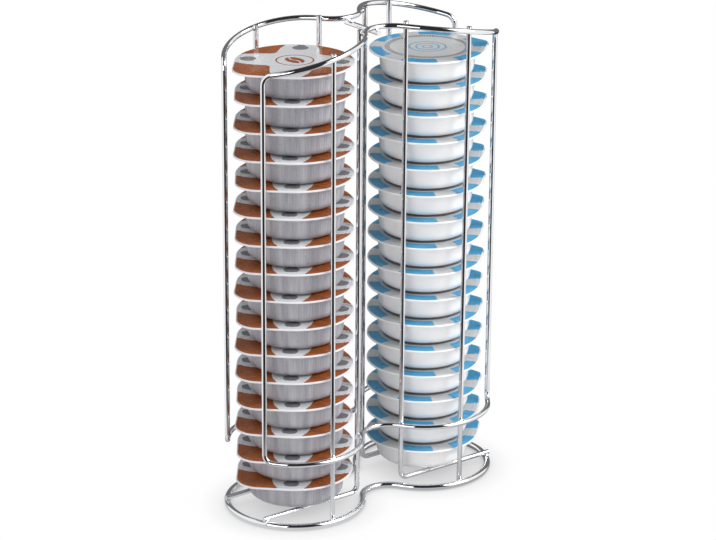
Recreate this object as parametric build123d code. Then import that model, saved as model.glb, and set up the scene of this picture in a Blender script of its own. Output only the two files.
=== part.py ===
from build123d import *
from math import acos, atan, atan2, cos, sin, sqrt
import os

# A free-standing wire tower that keeps two columns of disc-shaped drink capsules side by side.
# Millimetres, +Z up, +X from the left column to the right one, -Y to the front.
# The origin is on the table, midway between the two column axes.

# Wire
wire = 3.2
base_wire = 4.0
weld_gap = 0.05

# Capsules: a thin moulded cup with a flange and a pull tab, and a film lid on the flange
capsules_per_column = 16
rest_gap = 0.3
left_capsule_height = 17.4
right_capsule_height = 16.9
rim_radius = 36.4
left_flange_width = 5.0
right_flange_width = 5.8
flange_thickness = 1.2
left_cup_round = 6.0
right_cup_round = 8.0
cup_taper = 1.8
cup_wall = 0.9
lid_thickness = 0.4
lid_margin = 0.8

# Pull tabs: each kind's own overhang and tip, and how far its tabs are turned to the front, in degrees
left_tab_overhang = 7.2
left_tab_radius = 15.5
left_tab_turn = 4.0
right_tab_overhang = 4.6
right_tab_radius = 6.0
right_tab_turn = -15.0

# Loose capsules don't line up: each is turned a little more, in degrees, on a wave along the column
settle_turn = 2.0
settle_step = 2.4

# Room for the capsules: between rim and posts, above the taller stack, and above the lowest capsule
side_room = 1.25
head_room = 15.25
outlet_room = 17.0

# Waist between the two columns: the rail's bend, and its centre's distance from the middle
waist_radius = 17.5
waist_reach = 14.1

# Window loops: the fall of the top rail, and the free ends beside the pull tabs
rail_drop = 14.8
free_end_offset = 20.0
corner_reach = 5.5

# Posts, rest bars and tie
post_tip = 2.4
foot_height = 1.2
bar_bend = 5.0
bar_overhang = 1.6
tie_overhang = 2.6

# Plan that follows: wires at a weld, columns round the capsules, waist, base ring and free ends
seat = wire + weld_gap
lobe_radius = rim_radius + side_room + wire / 2 + seat
waist_centre = waist_reach + waist_radius
column_offset = sqrt((lobe_radius + waist_radius) ** 2 - waist_centre ** 2)
base_radius = lobe_radius + (base_wire - wire) / 2
free_end_x = column_offset + sqrt(lobe_radius ** 2 + corner_reach ** 2 - free_end_offset ** 2)

# Heights that follow: the bars on the base ring, the lowest capsules on the bars, and both rails
bar_height = base_wire + weld_gap + wire / 2
rest_height = bar_height + wire / 2 + rest_gap
tall_capsule = max(left_capsule_height, right_capsule_height)
lower_rail_height = rest_height + tall_capsule + outlet_room + wire / 2
rail_height = rest_height + capsules_per_column * (tall_capsule + rest_gap) + head_room

# Directions at the point where the rail leaves the left column for the front waist:
# outwards from the column, inwards to it, and along the rail away from the waist
outwards = Vector(column_offset, -waist_centre).normalized()
inwards = -outwards
away = Vector(outwards.Y, -outwards.X)


def at_height(point, height):
    """A point of the plan, raised to a height."""
    return Vector(point.X, point.Y, height)


def across_x(point):
    """The matching point on the other column."""
    return Vector(-point.X, point.Y, point.Z)


def waist_point(radius):
    """Where a curve round the left column, at this radius, turns into the front waist."""
    return Vector(-column_offset, 0) + outwards * radius


def tangent_arcs(start, heading, points):
    """Arcs from point to point, each one tangent to the arc before it."""
    arcs = []
    for point in points:
        arc = TangentArc(start, point, tangent=heading)
        arcs.append(arc)
        start = arc @ 1
        heading = arc % 1
    return arcs


def rod(edges, diameter):
    """Round wire along a chain of tangent lines and arcs."""
    path = Wire(edges)
    return sweep(Plane(path @ 0, z_dir=path % 0) * Circle(diameter / 2), path)


def base_ring():
    """The closed ring that stands on the table, swept as a front and a rear half."""
    height = base_wire / 2
    left_end = Vector(-column_offset - base_radius, 0, height)
    left_waist = at_height(waist_point(base_radius), height)
    stops = [left_waist, across_x(left_waist), across_x(left_end)]
    front = rod(tangent_arcs(left_end, Vector(0, -1, 0), stops), base_wire)
    return front + front.mirror(Plane.XZ)


class LobeRail:
    """One rail of a loop, from the waist round the left column to the loop's free end.

    The rail is an arc in a plane that dips about the rail's own direction at the waist, so that
    it falls by drop on its way to the free end, and stays tangent to the level waist.
    """

    def __init__(self, height, drop):
        self.waist = at_height(waist_point(lobe_radius), height)
        self.corner = Vector(-free_end_x, -free_end_offset, height - drop)
        span = at_height(self.corner, height) - self.waist
        along = span.dot(away)
        across = span.dot(inwards)
        dip = atan(drop / across)
        slant = across / cos(dip)
        self.across_plane = inwards * cos(dip) - Vector(0, 0, 1) * sin(dip)
        self.radius = (along ** 2 + slant ** 2 - corner_reach ** 2) / (2 * slant)
        self.end_turn = atan2(along, self.radius - slant) - atan(corner_reach / self.radius)
        self.end = self.corner - self.heading(self.end_turn) * corner_reach
        self.front_turn = atan2(-away.Y, self.across_plane.Y)

    def heading(self, turn):
        """The rail's direction after this much of the arc."""
        return away * cos(turn) + self.across_plane * sin(turn)

    def point(self, turn):
        """The rail's centre after this much of the arc."""
        return self.waist + away * self.radius * sin(turn) + self.across_plane * self.radius * (1 - cos(turn))


top_rail = LobeRail(rail_height, rail_drop)
lower_rail = LobeRail(lower_rail_height, 0.0)


def loop_half(rail, half_way, rise):
    """Half of a window loop: up or down from the middle of its free ends, and along one rail."""
    start = at_height(rail.corner, half_way)
    bend_start = rail.corner - Vector(0, 0, rise * corner_reach)
    stops = [rail.end, rail.waist, across_x(rail.waist), across_x(rail.end), across_x(bend_start)]
    edges = [Line(start, bend_start)]
    edges += tangent_arcs(bend_start, Vector(0, 0, rise), stops)
    edges += [Line(across_x(bend_start), across_x(start))]
    return rod(edges, wire)


def front_loop():
    """The closed window loop round the front of both columns."""
    half_way = (rail_height + lower_rail_height) / 2
    return loop_half(top_rail, half_way, 1) + loop_half(lower_rail, half_way, -1)


def straight_post():
    """A straight post inside the rails, at the front of the left column."""
    low = lower_rail.point(lower_rail.front_turn) + Vector(0, seat, 0)
    high = top_rail.point(top_rail.front_turn) + Vector(0, seat, 0)
    slope = (high - low) / (high.Z - low.Z)
    foot = low + slope * (foot_height - low.Z)
    return rod([Line(foot, high + slope * post_tip)], wire)


def rest_bar():
    """A post inside the front waist that bends into a bar under the left column."""
    post = waist_point(lobe_radius) + inwards * seat
    far_end = -column_offset - sqrt(base_radius ** 2 - post.Y ** 2) - bar_overhang
    top = at_height(post, rail_height + post_tip)
    bend_start = at_height(post, bar_height + bar_bend)
    bend_end = Vector(post.X - bar_bend, post.Y, bar_height)
    edges = [Line(top, bend_start)]
    edges += tangent_arcs(bend_start, Vector(0, 0, -1), [bend_end])
    edges += [Line(bend_end, Vector(far_end, post.Y, bar_height))]
    return rod(edges, wire)


def top_tie():
    """The short wire under both top rails, across the waist."""
    reach = waist_reach + tie_overhang
    height = rail_height - seat
    return rod([Line((0, -reach, height), (0, reach, height))], wire)


def tabbed_plate(tab_overhang, tab_radius, margin, thickness):
    """A round plate with a pull tab along +X, drawn in by a margin all round."""
    rim = rim_radius - margin
    tip = tab_radius - margin
    tip_centre = rim_radius + tab_overhang - tab_radius
    lean = acos((rim - tip) / tip_centre)
    side = Vector(cos(lean), sin(lean))
    rim_side = side * rim
    tip_side = Vector(tip_centre, 0) + side * tip
    outline = Wire([
        ThreePointArc((rim_side.X, rim_side.Y), (-rim, 0), (rim_side.X, -rim_side.Y)),
        Line((rim_side.X, -rim_side.Y), (tip_side.X, -tip_side.Y)),
        ThreePointArc((tip_side.X, -tip_side.Y), (tip_centre + tip, 0), (tip_side.X, tip_side.Y)),
        Line((tip_side.X, tip_side.Y), (rim_side.X, rim_side.Y)),
    ])
    return extrude(Face(outline), thickness)


def tapered_bowl(top_radius, height, rounding):
    """A cone that widens upwards from z = 0, with its lower edge rounded."""
    bowl = Pos(0, 0, height / 2) * Cone(top_radius - cup_taper, top_radius, height)
    return fillet(bowl.edges().sort_by(Axis.Z)[0], rounding)


def capsule(height, flange_width, rounding, tab):
    """The cup and the lid of one capsule, standing at z = 0 with the pull tab along +X."""
    cup_height = height - lid_thickness
    cup_radius = rim_radius - flange_width
    flange = Pos(0, 0, cup_height - flange_thickness) * tabbed_plate(*tab, 0, flange_thickness)
    bowl = tapered_bowl(cup_radius, cup_height, rounding)
    hollow = tapered_bowl(cup_radius - cup_wall, cup_height - cup_wall, rounding - cup_wall)
    cup = flange + bowl - Pos(0, 0, cup_wall) * hollow
    lid = Pos(0, 0, cup_height) * tabbed_plate(*tab, lid_margin, lid_thickness)
    return [cup, lid]


def save(name, solids):
    export_step(Compound(children=solids), os.path.join("parts", name + ".step"))


os.makedirs("parts", exist_ok=True)

# The wire frame, made on the front left and mirrored
loop = front_loop()
save("base_ring", [base_ring()])
save("front_loop", [loop])
save("rear_loop", [loop.mirror(Plane.XZ)])
save("top_tie", [top_tie()])
for piece, maker in (("post", straight_post), ("rest_bar", rest_bar)):
    front_left = maker()
    rear_left = front_left.mirror(Plane.XZ)
    save("front_left_" + piece, [front_left])
    save("rear_left_" + piece, [rear_left])
    save("front_right_" + piece, [front_left.mirror(Plane.YZ)])
    save("rear_right_" + piece, [rear_left.mirror(Plane.YZ)])

# The two columns of capsules, numbered from the bottom; their tabs point out between the free ends
left_tab = (left_tab_overhang, left_tab_radius)
right_tab = (right_tab_overhang, right_tab_radius)
left_capsule = capsule(left_capsule_height, left_flange_width, left_cup_round, left_tab)
right_capsule = capsule(right_capsule_height, right_flange_width, right_cup_round, right_tab)
columns = (
    ("left", left_capsule, left_capsule_height, Pos(-column_offset) * Rot(0, 0, 180 + left_tab_turn)),
    ("right", right_capsule, right_capsule_height, Pos(column_offset) * Rot(0, 0, right_tab_turn)),
)
for side, solids, height, axis in columns:
    for number in range(capsules_per_column):
        turn = settle_turn * sin(settle_step * number)
        place = axis * Pos(0, 0, rest_height + number * (height + rest_gap)) * Rot(0, 0, turn)
        save(f"capsule_{side}_{number + 1:02d}", [place * solid for solid in solids])
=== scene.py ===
from math import atan2, cos, pi, radians, sin, sqrt, tau

import bpy
from mathutils import Matrix, Vector


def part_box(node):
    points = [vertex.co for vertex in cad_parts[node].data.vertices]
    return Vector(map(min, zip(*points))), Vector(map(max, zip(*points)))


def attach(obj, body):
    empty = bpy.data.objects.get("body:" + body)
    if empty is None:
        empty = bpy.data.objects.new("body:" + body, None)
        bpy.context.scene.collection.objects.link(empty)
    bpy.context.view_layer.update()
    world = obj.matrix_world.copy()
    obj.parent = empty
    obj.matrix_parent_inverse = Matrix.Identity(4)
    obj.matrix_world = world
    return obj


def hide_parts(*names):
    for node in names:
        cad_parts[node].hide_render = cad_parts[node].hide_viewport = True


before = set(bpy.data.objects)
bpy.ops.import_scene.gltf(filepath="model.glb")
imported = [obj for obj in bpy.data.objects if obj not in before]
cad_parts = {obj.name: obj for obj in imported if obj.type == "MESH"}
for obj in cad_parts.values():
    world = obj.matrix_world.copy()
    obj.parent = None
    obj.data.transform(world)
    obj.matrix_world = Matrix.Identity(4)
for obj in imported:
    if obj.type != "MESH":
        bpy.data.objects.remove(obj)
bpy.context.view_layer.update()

bpy.ops.object.select_all(action="DESELECT")

# Chromed wires
# The tower is bent steel rod: a ring to stand on, two window loops, posts, rest bars and a tie.
# The rod is polished and plated with nickel and chromium after welding. Its solids keep their shape.

CHROME_DULL = (0.80, 0.81, 0.83, 1)
CHROME_BRIGHT = (0.90, 0.90, 0.91, 1)


def add_node(tree, kind, values=None, **settings):
    """A shader node with its settings, and the values of its unlinked inputs."""
    made = tree.nodes.new(kind)
    for name, value in settings.items():
        setattr(made, name, value)
    for name, value in (values or {}).items():
        made.inputs[name].default_value = value
    return made


def reckon(tree, operation, *terms):
    """The output of a Math node whose terms are numbers or other outputs."""
    made = add_node(tree, "ShaderNodeMath", operation=operation)
    for socket, term in zip(made.inputs, terms):
        if isinstance(term, bpy.types.NodeSocket):
            tree.links.new(term, socket)
        else:
            socket.default_value = term
    return made.outputs[0]


def lay_over(tree, share, under, over):
    """One colour laid over another by a share; each term is a value or another output."""
    made = add_node(tree, "ShaderNodeMix", data_type="RGBA")
    # A Mix node's sockets for colours come after those for numbers and vectors
    for socket, term in ((made.inputs[0], share), (made.inputs[6], under), (made.inputs[7], over)):
        if isinstance(term, bpy.types.NodeSocket):
            tree.links.new(term, socket)
        else:
            socket.default_value = term
    return made.outputs[2]


def new_finish(name):
    """A material with its node tree and its shader."""
    material = bpy.data.materials.new(name)
    material.use_nodes = True
    return material, material.node_tree, material.node_tree.nodes["Principled BSDF"]


unevenness = bpy.data.node_groups.new("Cloudy unevenness", "ShaderNodeTree")
unevenness.interface.new_socket("Vector", in_out="INPUT", socket_type="NodeSocketVector")
for socket_name in ("Scale", "Low", "High"):
    unevenness.interface.new_socket(socket_name, in_out="INPUT", socket_type="NodeSocketFloat")
unevenness.interface.new_socket("Value", in_out="OUTPUT", socket_type="NodeSocketFloat")
group_in = add_node(unevenness, "NodeGroupInput")
group_out = add_node(unevenness, "NodeGroupOutput")
cloud = add_node(unevenness, "ShaderNodeTexNoise", {"Detail": 3.0})
spread = add_node(unevenness, "ShaderNodeMapRange", {"From Min": 0.3, "From Max": 0.7})
unevenness.links.new(group_in.outputs["Vector"], cloud.inputs["Vector"])
unevenness.links.new(group_in.outputs["Scale"], cloud.inputs["Scale"])
unevenness.links.new(cloud.outputs["Fac"], spread.inputs["Value"])
unevenness.links.new(group_in.outputs["Low"], spread.inputs["To Min"])
unevenness.links.new(group_in.outputs["High"], spread.inputs["To Max"])
unevenness.links.new(spread.outputs["Result"], group_out.inputs["Value"])


def uneven(tree, place, scale, low=0.0, high=1.0):
    """A value that drifts between low and high over a surface."""
    made = add_node(tree, "ShaderNodeGroup", node_tree=unevenness)
    tree.links.new(place, made.inputs["Vector"])
    for name, value in (("Scale", scale), ("Low", low), ("High", high)):
        made.inputs[name].default_value = value
    return made.outputs["Value"]


def ripple(tree, shader, height, strength, distance):
    """Fine relief on a surface: a height that bends the shader's normal."""
    bump = add_node(tree, "ShaderNodeBump", {"Strength": strength, "Distance": distance})
    tree.links.new(height, bump.inputs["Height"])
    tree.links.new(bump.outputs["Normal"], shader.inputs["Normal"])


chrome, tree, shader = new_finish("Chrome plating")
place = add_node(tree, "ShaderNodeTexCoord").outputs["Object"]
shader.inputs["Metallic"].default_value = 1.0
tone = lay_over(tree, uneven(tree, place, scale=45.0), CHROME_DULL, CHROME_BRIGHT)
tree.links.new(tone, shader.inputs["Base Color"])
tree.links.new(uneven(tree, place, scale=120.0, low=0.02, high=0.06), shader.inputs["Roughness"])
ripple(tree, shader, uneven(tree, place, scale=60.0), strength=0.01, distance=0.0004)

corners = ("front_left", "front_right", "rear_left", "rear_right")
wires = ["base_ring", "front_loop", "rear_loop", "top_tie"]
wires += [corner + "_post" for corner in corners] + [corner + "_rest_bar" for corner in corners]
for wire in wires:
    for material_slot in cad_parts[wire].material_slots:
        material_slot.material = chrome

# Weld spots
# Where two wires cross they are pressed together and spot-welded, so a little steel flows out between them.
# The flow sets as a small saddle that creeps along both wires, and is plated over with them.

BEAD_RADIUS = 0.0017
BEAD_FLATNESS = 0.42
BEAD_CREEP = 0.00022
BEAD_SHOULDER = 0.55 * BEAD_RADIUS

# Sizes of the wires, of the plan of their rails, and of the posts at the top rail
WIRE = 0.0032
BASE_WIRE = 0.0040
WELD_GAP = 0.00005
LOBE_RADIUS = 0.0425
WAIST_RADIUS = 0.0175
WAIST_REACH = 0.0141
POST_TIP = 0.0024
RAIL_SLOPE = radians(11.1)


def pick(piece, test):
    """Selects the vertices, in edit mode, whose place passes a test."""
    bpy.ops.mesh.select_mode(type="VERT")
    bpy.ops.mesh.select_all(action="DESELECT")
    bpy.ops.object.mode_set(mode="OBJECT")
    for vertex in piece.data.vertices:
        vertex.select = test(vertex.co)
    bpy.ops.object.mode_set(mode="EDIT")


def copy_to(name, pattern, place):
    """A copy of a finished pattern, with its own mesh, moved to its place."""
    mesh = pattern.data.copy()
    mesh.transform(place)
    made = bpy.data.objects.new(name, mesh)
    bpy.context.scene.collection.objects.link(made)
    return made


bpy.ops.mesh.primitive_uv_sphere_add(segments=20, ring_count=10, radius=BEAD_RADIUS, calc_uvs=False)
bead = bpy.context.object
bpy.ops.object.mode_set(mode="EDIT")
bpy.ops.transform.resize(value=(1, 1, BEAD_FLATNESS))
pick(bead, lambda at: abs(at.x) > BEAD_SHOULDER)
bpy.ops.transform.translate(value=(0, 0, -BEAD_CREEP))
pick(bead, lambda at: abs(at.y) > BEAD_SHOULDER)
bpy.ops.transform.translate(value=(0, 0, BEAD_CREEP))
bpy.ops.mesh.select_all(action="SELECT")
bpy.ops.mesh.vertices_smooth(factor=0.4, repeat=2)
bpy.ops.object.mode_set(mode="OBJECT")
bpy.ops.object.shade_smooth()
bead.data.materials.append(chrome)

# The plan: the left column's axis, the way from it to the front waist, and the curve of the base ring
seat = WIRE + WELD_GAP
waist_centre = WAIST_REACH + WAIST_RADIUS
column_offset = sqrt((LOBE_RADIUS + WAIST_RADIUS) ** 2 - waist_centre ** 2)
left_axis = Vector((-column_offset, 0, 0))
outwards = Vector((column_offset, -waist_centre, 0)).normalized()
ring_radius = LOBE_RADIUS + (BASE_WIRE - WIRE) / 2

# Heights of both rails, and both ends of the post, which leans a little to the left and the front
loop_low, loop_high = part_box("front_loop")
rail_heights = (loop_low.z + WIRE / 2, loop_high.z - WIRE / 2)
post_low, post_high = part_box("front_left_post")
post_side = Vector((WIRE / 2, WIRE / 2, 0))
post_foot = Vector((post_high.x, post_high.y, post_low.z)) - post_side
post_top = Vector((post_low.x, post_low.y, post_high.z)) + post_side

# Each spot of the front left quarter: its middle, the way from the first wire to the second, and the
# run of the first wire. The other quarters mirror it, and the tie's spot is mirrored to the rear alone.
level = Vector((1, 0, 0))
inwards = Vector((0, 1, 0))
upwards = Vector((0, 0, 1))
sloping = Vector((cos(RAIL_SLOPE), 0, sin(RAIL_SLOPE)))
quarter_welds = []
for height, run in ((rail_heights[0], level), (post_top.z - POST_TIP, sloping), (BASE_WIRE / 2, level)):
    post = post_foot.lerp(post_top, (height - post_foot.z) / (post_top.z - post_foot.z))
    quarter_welds.append((post - inwards * seat / 2, inwards, run))
for height in rail_heights:
    waist = left_axis + outwards * (LOBE_RADIUS - seat / 2) + upwards * height
    quarter_welds.append((waist, -outwards, upwards.cross(outwards)))
bar_side = outwards.y * (LOBE_RADIUS - seat)
on_ring = Vector((-sqrt(ring_radius ** 2 - bar_side ** 2), bar_side, 0))
bar_seat = left_axis + on_ring + upwards * (BASE_WIRE + WELD_GAP / 2)
quarter_welds.append((bar_seat, upwards, upwards.cross(on_ring)))
tie_weld = (Vector((0, -WAIST_REACH, rail_heights[1] - seat / 2)), upwards, inwards)
welds = [(spot, (side, end, 1)) for spot in quarter_welds for side in (1, -1) for end in (1, -1)]
welds += [(tie_weld, (1, end, 1)) for end in (1, -1)]

beads = []
for (middle, across, along), mirror in welds:
    middle, across, along = (way * Vector(mirror) for way in (middle, across, along))
    across.normalize()
    along.normalize()
    turned = Matrix((along, across.cross(along), across)).transposed().to_4x4()
    beads.append(copy_to("bead", bead, Matrix.Translation(middle) @ turned))
bpy.data.objects.remove(bead)
bpy.ops.object.select_all(action="DESELECT")
for bead in beads:
    bead.select_set(True)
bpy.context.view_layer.objects.active = beads[0]
bpy.ops.object.join()
weld_beads = bpy.context.object
weld_beads.name = "weld_beads"
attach(weld_beads, "frame")

# Cups of the left column
# Each capsule is a shallow cup, moulded in one shot of thin grey polypropylene with a flat flange and
# a pull tab. Fine flutes stiffen its wall, under a smooth shoulder.
# Its floor is drawn in to stand on a rim, and the capsule stands loose on the one below it.

LEFT_AXIS = -column_offset
LEFT_HEADING = pi + radians(4.0)
CAPSULES = 16
SETTLE_TURN = radians(2.0)
SETTLE_STEP = 2.4
RIM_RADIUS = 0.0364
LEFT_TAB = (0.0436, 0.0155)
RIM_STEPS = 160
TIP_STEPS = 96
LEFT_FLANGE = (0.0158, 0.0170)
FLANGE_ROUND = 0.00035
INSIDE_STEPS = 96
SMOOTH_ANGLE = radians(40)
FLAT_ANGLE = radians(0.5)
SECTION_SPAN = 0.05
FLUTES = 108
FLUTE_STEPS = 4
FLUTE_DEPTH = 0.00014
FLUTE_LOW = 0.0042
FLUTE_HIGH = 0.0128
FLUTE_INSIDE = 0.028
FLUTE_RADIUS = 0.0305
LEFT_PLASTIC = (0.29, 0.285, 0.32, 1)
LEFT_PLASTIC_PALE = (0.46, 0.46, 0.49, 1)
# Painted highlight: the flange and the shoulder under it are painted paler, where light catches the edge,
# between these heights
LEFT_RIM_HIGHLIGHT = (0.80, 0.80, 0.84, 1)
RIM_HIGHLIGHT_FADE = (0.0138, 0.0160)
STREAK_LENGTH = 25.0

# A hair's breadth, by which heights are told apart
HAIR = 1e-5


def bend(start, knee, end, steps):
    """Points of a profile on a curve between two points, drawn towards its knee."""
    curve = []
    for step in range(steps + 1):
        share = step / steps
        curve.append(tuple(
            first * (1 - share) ** 2 + 2 * middle * share * (1 - share) + last * share ** 2
            for first, middle, last in zip(start, knee, end)))
    return curve


# Outside and inside of the cup's wall: radius and height, from the middle of the floor to the top
left_outside = [(0.0, 0.0006), (0.0205, 0.0006), (0.0214, 0.0003), (0.0220, 0.0)]
left_outside += bend((0.0238, 0.0), (0.02864, 0.0006), (0.02985, FLUTE_LOW), steps=5)
left_outside += [(0.0301, 0.0056), (0.03085, 0.0122), (0.0309, FLUTE_HIGH), (0.0311, 0.0130)]
left_outside += [(0.03125, 0.0133), (0.03135, 0.0146), (0.0314, 0.0164), (0.0, 0.0164)]
left_inside = [(0.0, 0.0015), (0.0214, 0.0015)]
left_inside += bend((0.0236, 0.0010), (0.0279, 0.0014), (0.0289, 0.0056), steps=4)
left_inside += [(0.0300, 0.0128), (0.0304, 0.0140), (0.0305, 0.0180), (0.0, 0.0180)]


def turn(profile, steps):
    """A closed solid turned about the z axis from points of radius and height."""
    bpy.ops.object.select_all(action="DESELECT")
    bpy.ops.mesh.primitive_plane_add(size=0.001, calc_uvs=False, location=(profile[0][0], 0, profile[0][1]))
    made = bpy.context.object
    bpy.ops.object.transform_apply(location=True)
    bpy.ops.object.mode_set(mode="EDIT")
    bpy.ops.mesh.select_mode(type="VERT")
    bpy.ops.mesh.select_all(action="SELECT")
    bpy.ops.mesh.merge(type="CENTER")
    for (radius, height), (next_radius, next_height) in zip(profile, profile[1:]):
        step = (next_radius - radius, 0, next_height - height)
        bpy.ops.mesh.extrude_region_move(TRANSFORM_OT_translate={"value": step})
    bpy.ops.mesh.select_all(action="SELECT")
    bpy.ops.mesh.spin(steps=steps, angle=tau, center=(0, 0, 0), axis=(0, 0, 1), use_auto_merge=True)
    bpy.ops.mesh.select_all(action="SELECT")
    bpy.ops.mesh.remove_doubles(threshold=HAIR / 10)
    bpy.ops.mesh.normals_make_consistent(inside=False)
    bpy.ops.object.mode_set(mode="OBJECT")
    return made


def tabbed_plate(tab, margin, heights):
    """A flat round plate with its pull tab, of a reach and a tip radius, along +x, drawn in by a margin."""
    reach, tip_radius = tab
    low, high = heights
    middle = (low + high) / 2
    bpy.ops.object.select_all(action="DESELECT")
    bpy.ops.mesh.primitive_cylinder_add(
        vertices=RIM_STEPS, radius=RIM_RADIUS - margin, depth=high - low, calc_uvs=False,
        location=(0, 0, middle))
    made = bpy.context.object
    bpy.ops.object.transform_apply(location=True)
    bpy.ops.object.mode_set(mode="EDIT")
    bpy.ops.mesh.primitive_cylinder_add(
        vertices=TIP_STEPS, radius=tip_radius - margin, depth=high - low, calc_uvs=False,
        location=(reach - tip_radius, 0, middle))
    bpy.ops.mesh.select_all(action="SELECT")
    bpy.ops.mesh.convex_hull(join_triangles=False)
    bpy.ops.mesh.select_all(action="SELECT")
    bpy.ops.mesh.dissolve_limited(angle_limit=FLAT_ANGLE)
    bpy.ops.mesh.normals_make_consistent(inside=False)
    return made


def soften(piece, heights, width, segments):
    """Rounds the outline of a plate, in edit mode, at these heights."""
    pick(piece, lambda at: any(abs(at.z - height) < HAIR for height in heights))
    bpy.ops.mesh.select_mode(type="EDGE")
    bpy.ops.mesh.bevel(offset=width, segments=segments, affect="EDGES")
    bpy.ops.mesh.select_mode(type="VERT")


def combine(piece, tool, operation):
    """Unites a piece with a tool or cuts the tool out of it, and takes the tool away."""
    bpy.ops.object.select_all(action="DESELECT")
    piece.select_set(True)
    bpy.context.view_layer.objects.active = piece
    bpy.ops.object.modifier_add(type="BOOLEAN")
    cut = piece.modifiers[-1]
    cut.operation = operation
    cut.object = tool
    cut.solver = "MANIFOLD"
    bpy.ops.object.modifier_apply(modifier=cut.name)
    bpy.data.objects.remove(tool)


def smooth_over(piece):
    """Smooth shading over gentle edges, with flat faces kept flat beside their rounded edges."""
    bpy.ops.object.select_all(action="DESELECT")
    piece.select_set(True)
    bpy.context.view_layer.objects.active = piece
    bpy.ops.object.shade_smooth_by_angle(angle=SMOOTH_ANGLE)
    bpy.ops.object.modifier_add(type="WEIGHTED_NORMAL")
    piece.modifiers[-1].keep_sharp = True
    bpy.ops.object.modifier_apply(modifier=piece.modifiers[-1].name)


def press_flutes(wall):
    """Draws in every flute of a wall turned with four steps to a flute, half-way on its flanks."""
    bpy.ops.object.mode_set(mode="EDIT")
    for phases, share in (((1, 3), 0.5), ((2,), 1.0)):
        pick(wall, lambda at: FLUTE_LOW + HAIR < at.z < FLUTE_HIGH - HAIR and at.xy.length > FLUTE_INSIDE
             and round(atan2(at.y, at.x) / tau * FLUTE_STEPS * FLUTES) % FLUTE_STEPS in phases)
        squeeze = 1 - share * FLUTE_DEPTH / FLUTE_RADIUS
        bpy.ops.transform.resize(value=(squeeze, squeeze, 1), center_override=(0, 0, 0))
    bpy.ops.object.mode_set(mode="OBJECT")


def moulded_cup(wall, inside, tab, flange_heights):
    """A cup: its wall united with a rounded flange, its inside cut out, and a map of its section."""
    cup = tabbed_plate(tab, 0.0, flange_heights)
    soften(cup, flange_heights, FLANGE_ROUND, segments=3)
    bpy.ops.object.mode_set(mode="OBJECT")
    combine(cup, wall, "UNION")
    combine(cup, turn(inside, INSIDE_STEPS), "DIFFERENCE")
    smooth_over(cup)
    cup.data.materials.clear()
    for layer in list(cup.data.uv_layers):
        cup.data.uv_layers.remove(layer)
    section_map = cup.data.uv_layers.new(name="section").data
    for loop in cup.data.loops:
        at = cup.data.vertices[loop.vertex_index].co
        section_map[loop.index].uv = (at.xy.length / SECTION_SPAN, at.z / SECTION_SPAN)
    return cup


def stack(pattern, name, side, axis, heading):
    """Copies of a cup or lid on every capsule of a column, each turned as its capsule has settled."""
    for number in range(CAPSULES):
        capsule = f"capsule_{side}_{number + 1:02d}"
        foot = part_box(capsule)[0].z
        turned = Matrix.Rotation(heading + SETTLE_TURN * sin(SETTLE_STEP * number), 4, "Z")
        place = Matrix.Translation((axis, 0, foot)) @ turned
        made = copy_to(f"{name}_{side}_{number + 1:02d}", pattern, place)
        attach(made, capsule)
        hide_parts(capsule)
    bpy.data.objects.remove(pattern)


left_plastic, tree, shader = new_finish("Lilac grey polypropylene")
place = add_node(tree, "ShaderNodeTexCoord").outputs["Object"]
upright = add_node(tree, "ShaderNodeVectorMath", operation="MULTIPLY")
upright.inputs[1].default_value = (1, 1, 1 / STREAK_LENGTH)
tree.links.new(place, upright.inputs[0])
streaks = uneven(tree, upright.outputs["Vector"], scale=240.0)
tone = lay_over(tree, streaks, LEFT_PLASTIC, LEFT_PLASTIC_PALE)
section = add_node(tree, "ShaderNodeSeparateXYZ")
tree.links.new(add_node(tree, "ShaderNodeTexCoord").outputs["UV"], section.inputs[0])
# A painted highlight: the wall turns paler up its shoulder to the flange, where light catches the edge
highlight_low, highlight_high = (height / SECTION_SPAN for height in RIM_HIGHLIGHT_FADE)
rim_highlight = add_node(tree, "ShaderNodeMapRange", {"From Min": highlight_low, "From Max": highlight_high})
tree.links.new(section.outputs["Y"], rim_highlight.inputs["Value"])
tree.links.new(lay_over(tree, rim_highlight.outputs["Result"], tone, LEFT_RIM_HIGHLIGHT), shader.inputs["Base Color"])
tree.links.new(uneven(tree, place, scale=300.0, low=0.26, high=0.40), shader.inputs["Roughness"])
ripple(tree, shader, uneven(tree, place, scale=900.0), strength=0.05, distance=0.0002)

left_wall = turn(left_outside, FLUTE_STEPS * FLUTES)
press_flutes(left_wall)
left_cup = moulded_cup(left_wall, left_inside, LEFT_TAB, LEFT_FLANGE)
left_cup.data.materials.append(left_plastic)
stack(left_cup, "cup", "left", LEFT_AXIS, LEFT_HEADING)

# Lids of the left column
# A printed film, heat-sealed to the flange and cut to its outline just inside the edge, tab and all.
# The seal presses a low ridge along the edge.
# The print is four brown petals with a grey dot in each bay between them, round a bean in a ring.

LID_MARGIN = 0.0008
LEFT_LID = (0.0170, 0.0174)
FILM_ROUND = 0.00012
FILM_SPECULAR = 0.22
PRINT_SPAN = 0.1
MILLIMETRES = 1000
BROWN = (0.36, 0.108, 0.030, 1)
BROWN_DEEP = (0.27, 0.072, 0.018, 1)
FILM_WHITE = (0.66, 0.67, 0.69, 1)
FILM_GREY = (0.20, 0.20, 0.215, 1)
PETALS = 4
PETAL_INSIDE = 20.0
BAY_DEPTH = 20.0
DOT_PLACE = 28.5
DOT_RADIUS = 5.0
HUB_RADIUS = 12.5
HUB_RING = (10.8, 11.8)
BEAN_HALF_WIDTH = 5.0
BEAN_HALF_LENGTH = 7.4
SEAM_WAVE = 0.62
SEAM_SWING = 0.9
SEAM_HALF_WIDTH = 0.55

# Width and rise of each step across the sealed ridge, from the film's edge inwards
SEAL_STEPS = ((0.0015, 0.0), (0.0005, 0.00028), (0.0003, 0.0), (0.0005, -0.00028))


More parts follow.
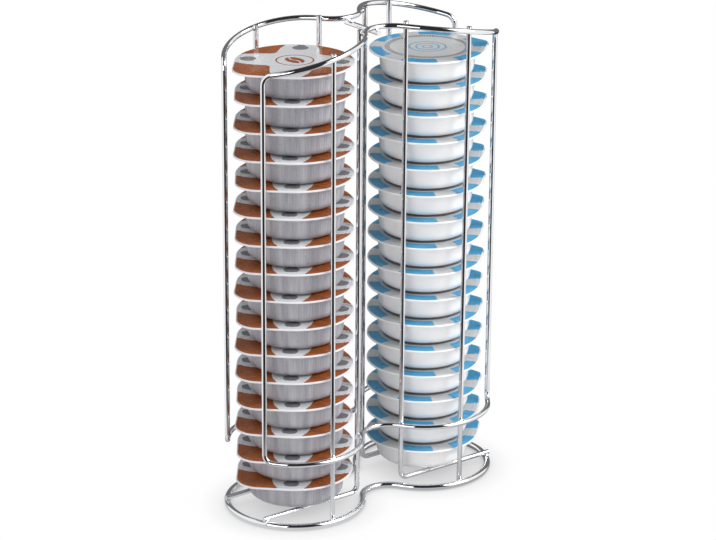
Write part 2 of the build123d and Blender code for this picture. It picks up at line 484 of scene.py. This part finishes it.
def film_lid(tab, heights):
    """The lid's film with its sealed ridge, and a flat map of its print in a square of PRINT_SPAN."""
    top = heights[1]
    lid = tabbed_plate(tab, LID_MARGIN, heights)
    soften(lid, (top,), FILM_ROUND, segments=2)
    pick(lid, lambda at: at.z > top - HAIR)
    bpy.ops.mesh.select_mode(type="FACE")
    for width, rise in SEAL_STEPS:
        bpy.ops.mesh.inset(thickness=width, depth=rise)
    bpy.ops.object.mode_set(mode="OBJECT")
    smooth_over(lid)
    print_map = lid.data.uv_layers.new(name="print").data
    for loop in lid.data.loops:
        at = lid.data.vertices[loop.vertex_index].co
        print_map[loop.index].uv = (0.5 + at.x / PRINT_SPAN, 0.5 + at.y / PRINT_SPAN)
    return lid


compass = bpy.data.node_groups.new("Lid compass", "ShaderNodeTree")
compass.interface.new_socket("Map", in_out="INPUT", socket_type="NodeSocketVector")
for socket_name in ("X", "Y", "Radius", "Turn"):
    compass.interface.new_socket(socket_name, in_out="OUTPUT", socket_type="NodeSocketFloat")
group_in = add_node(compass, "NodeGroupInput")
group_out = add_node(compass, "NodeGroupOutput")
apart = add_node(compass, "ShaderNodeSeparateXYZ")
compass.links.new(group_in.outputs["Map"], apart.inputs[0])
from_middle = (reckon(compass, "SUBTRACT", apart.outputs[axis], 0.5) for axis in ("X", "Y"))
across, along = (reckon(compass, "MULTIPLY", part, MILLIMETRES * PRINT_SPAN) for part in from_middle)
squares = reckon(compass, "ADD", reckon(compass, "POWER", across, 2), reckon(compass, "POWER", along, 2))
compass.links.new(across, group_out.inputs["X"])
compass.links.new(along, group_out.inputs["Y"])
compass.links.new(reckon(compass, "SQRT", squares), group_out.inputs["Radius"])
compass.links.new(
    reckon(compass, "DIVIDE", reckon(compass, "ARCTAN2", along, across), tau), group_out.inputs["Turn"])


def read_compass(tree):
    """Place on a lid's print: X and Y from the middle and Radius, in millimetres, and part of a Turn."""
    made = add_node(tree, "ShaderNodeGroup", node_tree=compass)
    tree.links.new(add_node(tree, "ShaderNodeTexCoord").outputs["UV"], made.inputs["Map"])
    return made.outputs


def between(tree, value, low, high):
    """1 where a value lies between two bounds, and 0 elsewhere."""
    above = reckon(tree, "GREATER_THAN", value, low)
    return reckon(tree, "MULTIPLY", above, reckon(tree, "LESS_THAN", value, high))


left_film, tree, shader = new_finish("Printed film, brown")
place = add_node(tree, "ShaderNodeTexCoord").outputs["Object"]
on_lid = read_compass(tree)
x, y, radius, turned = (on_lid[name] for name in ("X", "Y", "Radius", "Turn"))
brown = lay_over(tree, uneven(tree, place, scale=90.0), BROWN_DEEP, BROWN)
wave = reckon(tree, "COSINE", reckon(tree, "MULTIPLY", turned, PETALS * tau))
petal_edge = reckon(tree, "MULTIPLY_ADD", wave, -BAY_DEPTH / 2, PETAL_INSIDE + BAY_DEPTH / 2)
colour = lay_over(tree, reckon(tree, "GREATER_THAN", radius, petal_edge), FILM_WHITE, brown)
from_bay = reckon(tree, "SUBTRACT", reckon(tree, "FRACT", reckon(tree, "MULTIPLY", turned, PETALS)), 0.5)
along_arc = reckon(tree, "MULTIPLY", reckon(tree, "MULTIPLY", from_bay, tau / PETALS), radius)
from_dot = reckon(tree, "ADD", reckon(tree, "POWER", along_arc, 2),
                  reckon(tree, "POWER", reckon(tree, "SUBTRACT", radius, DOT_PLACE), 2))
colour = lay_over(tree, reckon(tree, "LESS_THAN", from_dot, DOT_RADIUS ** 2), colour, FILM_GREY)
colour = lay_over(tree, reckon(tree, "LESS_THAN", radius, HUB_RADIUS), colour, FILM_WHITE)
colour = lay_over(tree, between(tree, radius, *HUB_RING), colour, brown)
bean_reach = reckon(tree, "ADD", reckon(tree, "POWER", reckon(tree, "DIVIDE", x, BEAN_HALF_WIDTH), 2),
                    reckon(tree, "POWER", reckon(tree, "DIVIDE", y, BEAN_HALF_LENGTH), 2))
seam_turn = reckon(tree, "SINE", reckon(tree, "MULTIPLY", y, SEAM_WAVE))
seam = reckon(tree, "MULTIPLY_ADD", seam_turn, SEAM_SWING, x)
bean = reckon(tree, "MULTIPLY", reckon(tree, "LESS_THAN", bean_reach, 1.0),
              reckon(tree, "GREATER_THAN", reckon(tree, "ABSOLUTE", seam), SEAM_HALF_WIDTH))
colour = lay_over(tree, bean, colour, brown)
tree.links.new(colour, shader.inputs["Base Color"])
shader.inputs["Specular IOR Level"].default_value = FILM_SPECULAR
tree.links.new(uneven(tree, place, scale=200.0, low=0.20, high=0.32), shader.inputs["Roughness"])
ripple(tree, shader, uneven(tree, place, scale=260.0), strength=0.10, distance=0.0005)

left_lid = film_lid(LEFT_TAB, LEFT_LID)
left_lid.data.materials.append(left_film)
stack(left_lid, "lid", "left", LEFT_AXIS, LEFT_HEADING)

# Cups of the right column
# The same kind of cup for another drink, moulded in glossy white polypropylene.
# Its wall is plain and its lower edge is rounded more widely.
# The flange is wider, so the wall stands further in, and the capsules are loose here too.

RIGHT_AXIS = -LEFT_AXIS
RIGHT_HEADING = radians(-15.0)
RIGHT_TAB = (0.0410, 0.0060)
RIGHT_FLANGE = (0.0153, 0.0165)
RIGHT_PLASTIC = (0.90, 0.90, 0.905, 1)
RIGHT_PLASTIC_PALE = (0.95, 0.95, 0.95, 1)

right_outside = [(0.0, 0.0006), (0.0195, 0.0006), (0.0203, 0.0003), (0.0209, 0.0)]
right_outside += bend((0.0222, 0.0), (0.0290, 0.0006), (0.0294, 0.0060), steps=7)
right_outside += [(0.0306, 0.0159), (0.0, 0.0159)]
right_inside = [(0.0, 0.0015), (0.0203, 0.0015)]
right_inside += bend((0.0225, 0.0010), (0.0280, 0.0016), (0.0285, 0.0070), steps=5)
right_inside += [(0.0297, 0.0160), (0.0297, 0.0180), (0.0, 0.0180)]

right_plastic, tree, shader = new_finish("Glossy white polypropylene")
place = add_node(tree, "ShaderNodeTexCoord").outputs["Object"]
tone = lay_over(tree, uneven(tree, place, scale=60.0), RIGHT_PLASTIC, RIGHT_PLASTIC_PALE)
tree.links.new(tone, shader.inputs["Base Color"])
tree.links.new(uneven(tree, place, scale=240.0, low=0.14, high=0.24), shader.inputs["Roughness"])
ripple(tree, shader, uneven(tree, place, scale=500.0), strength=0.04, distance=0.0002)

right_cup = moulded_cup(turn(right_outside, RIM_STEPS), right_inside, RIGHT_TAB, RIGHT_FLANGE)
right_cup.data.materials.append(right_plastic)
stack(right_cup, "cup", "right", RIGHT_AXIS, RIGHT_HEADING)

# Lids of the right column
# The same sealed film, printed pale grey, with a band of even blue dashes along the edge.
# A ring of short dark ticks runs inside the band, and thin blue rings lie round the middle.

RIGHT_LID = (0.0165, 0.0169)
FILM_PALE = (0.58, 0.585, 0.59, 1)
FILM_PALE_COOL = (0.51, 0.525, 0.53, 1)
BLUE = (0.070, 0.36, 0.60, 1)
BLUE_DEEP = (0.040, 0.28, 0.52, 1)
INK = (0.04, 0.04, 0.045, 1)
BAND_INSIDE = 28.6
DASHES = 6
DASH_SHARE = 0.62
TICKS = 96
TICK_SHARE = 0.5
TICK_RING = (23.4, 26.6)
RINGS = 3
RING_STEP = 4.2
RING_LINE = (0.6, 0.82)

right_film, tree, shader = new_finish("Printed film, blue")
place = add_node(tree, "ShaderNodeTexCoord").outputs["Object"]
on_lid = read_compass(tree)
radius, turned = on_lid["Radius"], on_lid["Turn"]
pale = lay_over(tree, uneven(tree, place, scale=40.0), FILM_PALE_COOL, FILM_PALE)
blue = lay_over(tree, uneven(tree, place, scale=90.0), BLUE_DEEP, BLUE)
from_gap = reckon(tree, "FRACT", reckon(tree, "MULTIPLY_ADD", turned, DASHES, 0.5))
dashes = between(tree, from_gap, 0.5 - DASH_SHARE / 2, 0.5 + DASH_SHARE / 2)
band = reckon(tree, "MULTIPLY", reckon(tree, "GREATER_THAN", radius, BAND_INSIDE), dashes)
colour = lay_over(tree, band, pale, blue)
rings = between(tree, reckon(tree, "FRACT", reckon(tree, "DIVIDE", radius, RING_STEP)), *RING_LINE)
rings = reckon(tree, "MULTIPLY", rings, reckon(tree, "LESS_THAN", radius, RINGS * RING_STEP))
colour = lay_over(tree, rings, colour, blue)
ticks = reckon(tree, "LESS_THAN", reckon(tree, "FRACT", reckon(tree, "MULTIPLY", turned, TICKS)), TICK_SHARE)
ticks = reckon(tree, "MULTIPLY", ticks, between(tree, radius, *TICK_RING))
colour = lay_over(tree, ticks, colour, INK)
tree.links.new(colour, shader.inputs["Base Color"])
tree.links.new(uneven(tree, place, scale=200.0, low=0.26, high=0.40), shader.inputs["Roughness"])
ripple(tree, shader, uneven(tree, place, scale=260.0), strength=0.10, distance=0.0005)

right_lid = film_lid(RIGHT_TAB, RIGHT_LID)
right_lid.data.materials.append(right_film)
stack(right_lid, "lid", "right", RIGHT_AXIS, RIGHT_HEADING)

# Floor
# A plain white table top, one with the white backdrop but for the soft shade close under the tower.
# Polished metal sees it pale before the tower and dim behind it.
# Further off it sees white, with a black card before the tower and another behind it.

FLOOR_RADIUS = 1.0
FLOOR_DROP = 0.0002
FLOOR_TONE = (0.80, 0.80, 0.80, 1)
FLOOR_PALE = (0.68, 0.68, 0.69, 1)
FLOOR_DIM = (0.08, 0.08, 0.085, 1)
FLOOR_CONTACT = (0.50, 0.50, 0.51, 1)
CONTACT_REACH = 0.034
NEAR_FLOOR = (0.10, 0.24)
FRONT_FLOOR = (-0.08, 0.06)
CARD_DARK = (0.03, 0.03, 0.032, 1)
CARD_GREY = (0.17, 0.17, 0.175, 1)
CARD_WHITE = (1.0, 1.0, 1.0, 1)
CARD_WAY = (-0.606, -0.795, 0.0)
CARD_EDGE = 0.70
CARD_BLUR = 0.03

cards = bpy.data.node_groups.new("Studio cards", "ShaderNodeTree")
cards.interface.new_socket("Way", in_out="INPUT", socket_type="NodeSocketVector")
for socket_name in ("Before", "Behind"):
    cards.interface.new_socket(socket_name, in_out="OUTPUT", socket_type="NodeSocketFloat")
group_in = add_node(cards, "NodeGroupInput")
group_out = add_node(cards, "NodeGroupOutput")
level = add_node(cards, "ShaderNodeVectorMath", operation="MULTIPLY")
level.inputs[1].default_value = (1, 1, 0)
aim = add_node(cards, "ShaderNodeVectorMath", operation="NORMALIZE")
facing = add_node(cards, "ShaderNodeVectorMath", operation="DOT_PRODUCT")
facing.inputs[1].default_value = CARD_WAY
cards.links.new(group_in.outputs["Way"], level.inputs[0])
cards.links.new(level.outputs["Vector"], aim.inputs[0])
cards.links.new(aim.outputs["Vector"], facing.inputs[0])
for socket_name, sign in (("Before", 1), ("Behind", -1)):
    edge = add_node(
        cards, "ShaderNodeMapRange", {"From Min": CARD_EDGE - CARD_BLUR, "From Max": CARD_EDGE + CARD_BLUR})
    cards.links.new(reckon(cards, "MULTIPLY", facing.outputs["Value"], sign), edge.inputs["Value"])
    cards.links.new(edge.outputs["Result"], group_out.inputs[socket_name])


def show_cards(tree, way, behind):
    """The studio as polished metal sees it that way, with a card of this tone behind the tower."""
    made = add_node(tree, "ShaderNodeGroup", node_tree=cards)
    tree.links.new(way, made.inputs["Way"])
    open_side = lay_over(tree, made.outputs["Before"], CARD_WHITE, CARD_DARK)
    return lay_over(tree, made.outputs["Behind"], open_side, behind)


def choose(tree, share, first, second):
    """One shader or another, by a share."""
    made = add_node(tree, "ShaderNodeMixShader")
    tree.links.new(share, made.inputs[0])
    tree.links.new(first, made.inputs[1])
    tree.links.new(second, made.inputs[2])
    return made.outputs[0]


bpy.ops.object.select_all(action="DESELECT")
bpy.ops.mesh.primitive_circle_add(
    vertices=96, radius=FLOOR_RADIUS, fill_type="NGON", location=(0, 0, -FLOOR_DROP))
floor = bpy.context.object
floor.name = "floor"
bpy.ops.object.transform_apply(location=True)

table_top, tree, shader = new_finish("White table top")
tree.nodes.remove(shader)
place = add_node(tree, "ShaderNodeTexCoord").outputs["Object"]
light_path = add_node(tree, "ShaderNodeLightPath")
matt = add_node(tree, "ShaderNodeBsdfDiffuse", {"Color": FLOOR_TONE})
seen = add_node(tree, "ShaderNodeEmission", {"Strength": 1.0})
mirrored = add_node(tree, "ShaderNodeEmission", {"Strength": 1.0})
contact = add_node(tree, "ShaderNodeAmbientOcclusion", {"Distance": CONTACT_REACH}, samples=16)
tree.links.new(lay_over(tree, contact.outputs["AO"], FLOOR_CONTACT, CARD_WHITE), seen.inputs["Color"])
reach = add_node(tree, "ShaderNodeVectorMath", operation="LENGTH")
tree.links.new(place, reach.inputs[0])
near = add_node(tree, "ShaderNodeMapRange", {"From Min": NEAR_FLOOR[0], "From Max": NEAR_FLOOR[1]})
tree.links.new(reach.outputs["Value"], near.inputs["Value"])
ahead = add_node(tree, "ShaderNodeVectorMath", operation="DOT_PRODUCT")
ahead.inputs[1].default_value = CARD_WAY
tree.links.new(place, ahead.inputs[0])
front = add_node(tree, "ShaderNodeMapRange", {"From Min": FRONT_FLOOR[0], "From Max": FRONT_FLOOR[1]})
tree.links.new(ahead.outputs["Value"], front.inputs["Value"])
close_by = lay_over(tree, front.outputs["Result"], FLOOR_DIM, FLOOR_PALE)
mirror_image = lay_over(tree, near.outputs["Result"], close_by, show_cards(tree, place, CARD_DARK))
tree.links.new(mirror_image, mirrored.inputs["Color"])
unseen = choose(tree, light_path.outputs["Is Glossy Ray"], matt.outputs[0], mirrored.outputs[0])
tree.links.new(choose(tree, light_path.outputs["Is Camera Ray"], unseen, seen.outputs[0]),
               tree.nodes["Material Output"].inputs["Surface"])
floor.data.materials.append(table_top)

# Studio light
# A white tent of even light, with a large soft lamp to the right of the camera and a weaker one to its left.
# The camera sees the tent white. Polished metal sees a black card in it before the tower, a grey one
# behind the tower, and the tent's dark open top.

TENT_LEVEL = 0.59
OPEN_TOP = 0.86
LAMPS = (
    ("key lamp", (0.74, -1.04, 1.15), 0.9, 20.0),
    ("fill lamp", (-1.30, -0.60, 0.52), 0.8, 5.0),
)
LAMP_AIM = Vector((0, 0, 0.15))

scene = bpy.context.scene
world = bpy.data.worlds.new("Studio")
scene.world = world
world.use_nodes = True
tree = world.node_tree
tree.nodes.clear()
way = add_node(tree, "ShaderNodeTexCoord").outputs["Generated"]
light_path = add_node(tree, "ShaderNodeLightPath")
even = add_node(tree, "ShaderNodeBackground", {"Color": (1, 1, 1, 1), "Strength": TENT_LEVEL})
white = add_node(tree, "ShaderNodeBackground", {"Color": (1, 1, 1, 1), "Strength": 1.0})
mirrored = add_node(tree, "ShaderNodeBackground", {"Strength": 1.0})
upward = add_node(tree, "ShaderNodeSeparateXYZ")
tree.links.new(way, upward.inputs[0])
opening = add_node(
    tree, "ShaderNodeMapRange", {"From Min": OPEN_TOP - CARD_BLUR, "From Max": OPEN_TOP + CARD_BLUR})
tree.links.new(upward.outputs["Z"], opening.inputs["Value"])
tent = lay_over(tree, opening.outputs["Result"], show_cards(tree, way, CARD_GREY), CARD_DARK)
tree.links.new(tent, mirrored.inputs["Color"])
lighting = choose(tree, light_path.outputs["Is Glossy Ray"], even.outputs[0], mirrored.outputs[0])
world_out = add_node(tree, "ShaderNodeOutputWorld")
tree.links.new(choose(tree, light_path.outputs["Is Camera Ray"], lighting, white.outputs[0]),
               world_out.inputs["Surface"])

for name, spot, size, watts in LAMPS:
    bpy.ops.object.light_add(type="AREA", location=spot)
    lamp = bpy.context.object
    lamp.name = name
    lamp.data.size = size
    lamp.data.energy = watts
    lamp.rotation_euler = (Vector(spot) - LAMP_AIM).to_track_quat("Z", "Y").to_euler()

scene.view_settings.view_transform = "Standard"

# Camera
# A long lens to the left of the front and above it, as the photograph was taken.
# It is turned a touch about its own axis, as the photograph is.

AZIMUTH = radians(-37.312)
ELEVATION = radians(19.78)
ROLL = radians(0.376)
TARGET = Vector((-0.001357, 0.001034, 0.145395))
DISTANCE = 1.862294
SENSOR_WIDTH = 36.0
FOCAL_LENGTH = 149.07

back = Vector((sin(AZIMUTH) * cos(ELEVATION), -cos(AZIMUTH) * cos(ELEVATION), sin(ELEVATION)))
level_right = Vector((cos(AZIMUTH), sin(AZIMUTH), 0))
level_up = back.cross(level_right)
right = level_right * cos(ROLL) + level_up * sin(ROLL)
up = level_up * cos(ROLL) - level_right * sin(ROLL)
lens = bpy.data.cameras.new("camera")
lens.sensor_width = SENSOR_WIDTH
lens.lens = FOCAL_LENGTH
camera = bpy.data.objects.new("camera", lens)
scene.collection.objects.link(camera)
camera.matrix_world = (Matrix.Translation(TARGET + back * DISTANCE)
                       @ Matrix((right, up, back)).transposed().to_4x4())
scene.camera = camera
